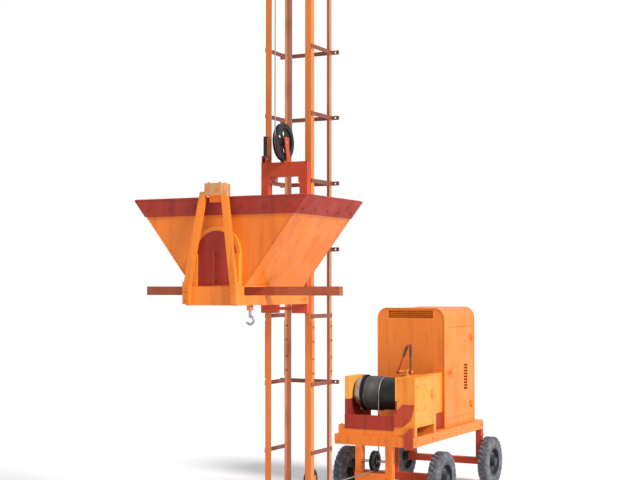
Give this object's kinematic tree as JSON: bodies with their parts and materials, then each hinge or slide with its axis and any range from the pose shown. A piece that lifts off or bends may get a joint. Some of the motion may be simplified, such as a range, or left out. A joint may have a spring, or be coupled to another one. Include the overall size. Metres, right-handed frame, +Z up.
{
  "type": "material hoist",
  "caption": "Mobile tower hoist: a rope winch on a wheeled chassis lifts a V-shaped hopper with a discharge gate on a carriage up a lattice mast.",
  "frame": {"origin": "middle of the tower's ground plate, on the ground", "axes": "+X right, +Y back to the chassis, +Z up the tower"},
  "size_m": [2, 5.8513, 6.885],
  "materials": {
    "orange_paint": "gloss orange enamel, slightly worn",
    "red_paint": "dark red-brown primer paint",
    "black_steel": "black painted cast steel",
    "bare_steel": "bare turned steel",
    "rope_steel": "greased wire rope",
    "tyre_rubber": "dusty rubber",
    "rim_paint": "dark grey paint",
    "engine_metal": "cast light alloy",
    "belt_rubber": "flat drive belt"
  },
  "bodies": {
    "root": {"base_plate": "orange_paint", "base_rails": "orange_paint", "link_posts": "orange_paint", "front_legs": "orange_paint", "rear_legs": "orange_paint", "side_rungs": "orange_paint", "rear_bars": "orange_paint", "splice_plates": "orange_paint", "head_frame": "orange_paint", "chassis_frame": "orange_paint", "rear_axle": "orange_paint", "winch_frame": "orange_paint", "gear_cover": "orange_paint", "canopy": "orange_paint", "tower_bolts": "bare_steel", "sheave_pins": "bare_steel", "brake_band": "bare_steel", "rope_lead": "rope_steel", "rope_fall_live": "rope_steel", "rope_fall_dead": "rope_steel", "engine": "engine_metal", "belts": "belt_rubber"},
    "carriage": {"carriage_frame": "red_paint", "carriage_pins": "bare_steel", "cradle": "orange_paint", "landing_beam": "red_paint", "hopper": "orange_paint", "rim_band": "red_paint", "gate_ring": "orange_paint", "a_frame": "orange_paint", "rope_carriage_wrap": "rope_steel"},
    "drum": {"drum": "black_steel", "drum_gear": "black_steel", "rope_drum_wrap": "rope_steel"},
    "head_sheave": {"head_sheave": "black_steel"},
    "foot_sheave": {"foot_sheave": "black_steel"},
    "lead_sheave": {"lead_sheave": "black_steel"},
    "carriage_sheave": {"carriage_sheave": "black_steel"},
    "upper_rollers": {"upper_rollers": "bare_steel"},
    "lower_rollers": {"lower_rollers": "bare_steel"},
    "safety_catch": {"safety_catch": "black_steel"},
    "hook": {"hook": "bare_steel"},
    "countershaft": {"countershaft": "bare_steel"},
    "clutch_pulley": {"clutch_pulley": "black_steel"},
    "brake_lever": {"brake_lever": "black_steel"},
    "clutch_lever": {"clutch_lever": "black_steel"},
    "flywheel": {"flywheel": "black_steel"},
    "canopy_door": {"canopy_door": "orange_paint"},
    "front_axle": {"front_axle": "orange_paint"},
    "gate": {"gate_plate": "red_paint"},
    "wheel_front_left": {"tyre_front_left": "tyre_rubber", "rim_front_left": "rim_paint"},
    "wheel_front_right": {"tyre_front_right": "tyre_rubber", "rim_front_right": "rim_paint"},
    "wheel_rear_left": {"tyre_rear_left": "tyre_rubber", "rim_rear_left": "rim_paint"},
    "wheel_rear_right": {"tyre_rear_right": "tyre_rubber", "rim_rear_right": "rim_paint"}
  },
  "joints": [
    {"name": "carriage_lift", "type": "slide", "parent": "root", "child": "carriage", "axis": [0, 0, 1], "range_m": [-1.8, 2.15], "deforming": ["rope_fall_live", "rope_fall_dead"]},
    {"name": "head_sheave_turn", "type": "hinge", "parent": "root", "child": "head_sheave", "pos_m": [0, 0, 6.72], "axis": [1, 0, 0], "range_deg": [-1645, 1378]},
    {"name": "foot_sheave_turn", "type": "hinge", "parent": "root", "child": "foot_sheave", "pos_m": [0, 0.25, 0.52], "axis": [1, 0, 0], "range_deg": [-2065, 2466]},
    {"name": "lead_sheave_turn", "type": "hinge", "parent": "root", "child": "lead_sheave", "pos_m": [0, 1.78, 0.52], "axis": [1, 0, 0], "range_deg": [-2065, 2466]},
    {"name": "carriage_sheave_turn", "type": "hinge", "parent": "carriage", "child": "carriage_sheave", "pos_m": [0, -0.315, 3.82], "axis": [1, 0, 0], "range_deg": [-628, 749]},
    {"name": "upper_rollers_turn", "type": "hinge", "parent": "carriage", "child": "upper_rollers", "pos_m": [0, -0.1776, 3.465], "axis": [1, 0, 0], "range_deg": [-2867, 3424]},
    {"name": "lower_rollers_turn", "type": "hinge", "parent": "carriage", "child": "lower_rollers", "pos_m": [0, -0.2564, 2.36], "axis": [1, 0, 0], "range_deg": [-3424, 2867]},
    {"name": "drum_turn", "type": "hinge", "parent": "root", "child": "drum", "pos_m": [0, 2.0664, 1.24], "axis": [1, 0, 0], "range_deg": [-1324, 1109]},
    {"name": "countershaft_turn", "type": "hinge", "parent": "root", "child": "countershaft", "pos_m": [0, 2.3004, 1.24], "axis": [1, 0, 0], "range_deg": [-3691, 4408]},
    {"name": "gate_slide", "type": "slide", "parent": "carriage", "child": "gate", "axis": [0, 0, 1], "range_m": [0, 0.2]},
    {"name": "hook_swing", "type": "hinge", "parent": "carriage", "child": "hook", "pos_m": [0.225, -1.33, 2.244], "axis": [0, 1, 0], "range_deg": [-50, 50]},
    {"name": "safety_catch_bite", "type": "hinge", "parent": "carriage", "child": "safety_catch", "pos_m": [-0.22, -0.28, 3.67], "axis": [-1, 0, 0], "range_deg": [0, 7], "stiffness_Nm_per_rad": 5},
    {"name": "engine_turn", "type": "hinge", "parent": "root", "child": "flywheel", "pos_m": [0, 3.14, 1.24], "axis": [1, 0, 0], "continuous": true},
    {"name": "clutch_pulley_turn", "type": "hinge", "parent": "root", "child": "clutch_pulley", "pos_m": [0, 2.3004, 1.24], "axis": [1, 0, 0], "continuous": true},
    {"name": "brake_lever_swing", "type": "hinge", "parent": "root", "child": "brake_lever", "pos_m": [0, 2.13, 1.485], "axis": [1, 0, 0], "range_deg": [-20, 20]},
    {"name": "clutch_lever_swing", "type": "hinge", "parent": "root", "child": "clutch_lever", "pos_m": [0, 2.13, 1.485], "axis": [1, 0, 0], "range_deg": [-20, 20]},
    {"name": "canopy_door_swing", "type": "hinge", "parent": "root", "child": "canopy_door", "pos_m": [0.431, 3.67, 1.4], "axis": [0, 0, 1], "range_deg": [0, 100]},
    {"name": "front_axle_steer", "type": "hinge", "parent": "root", "child": "front_axle", "pos_m": [0, 2.31, 0.5], "axis": [0, 0, 1], "range_deg": [-15, 15]},
    {"name": "wheel_front_left_turn", "type": "hinge", "parent": "front_axle", "child": "wheel_front_left", "pos_m": [-0.575, 2.31, 0.3], "axis": [1, 0, 0], "continuous": true},
    {"name": "wheel_front_right_turn", "type": "hinge", "parent": "front_axle", "child": "wheel_front_right", "pos_m": [0.575, 2.31, 0.3], "axis": [1, 0, 0], "continuous": true},
    {"name": "wheel_rear_left_turn", "type": "hinge", "parent": "root", "child": "wheel_rear_left", "pos_m": [-0.575, 3.9, 0.3], "axis": [1, 0, 0], "continuous": true},
    {"name": "wheel_rear_right_turn", "type": "hinge", "parent": "root", "child": "wheel_rear_right", "pos_m": [0.575, 3.9, 0.3], "axis": [1, 0, 0], "continuous": true}
  ],
  "couplings": [
    {"joint": "head_sheave_turn", "follows": "carriage_lift", "rad_per_m": -13.333},
    {"joint": "foot_sheave_turn", "follows": "carriage_lift", "rad_per_m": 20},
    {"joint": "lead_sheave_turn", "follows": "carriage_lift", "rad_per_m": 20},
    {"joint": "carriage_sheave_turn", "follows": "carriage_lift", "rad_per_m": 6.0606},
    {"joint": "upper_rollers_turn", "follows": "carriage_lift", "rad_per_m": 27.778},
    {"joint": "lower_rollers_turn", "follows": "carriage_lift", "rad_per_m": -27.778},
    {"joint": "drum_turn", "follows": "carriage_lift", "rad_per_m": -10.73},
    {"joint": "countershaft_turn", "follows": "carriage_lift", "rad_per_m": 35.765},
    {"joint": "clutch_pulley_turn", "follows": "engine_turn", "ratio": 0.63636}
  ]
}
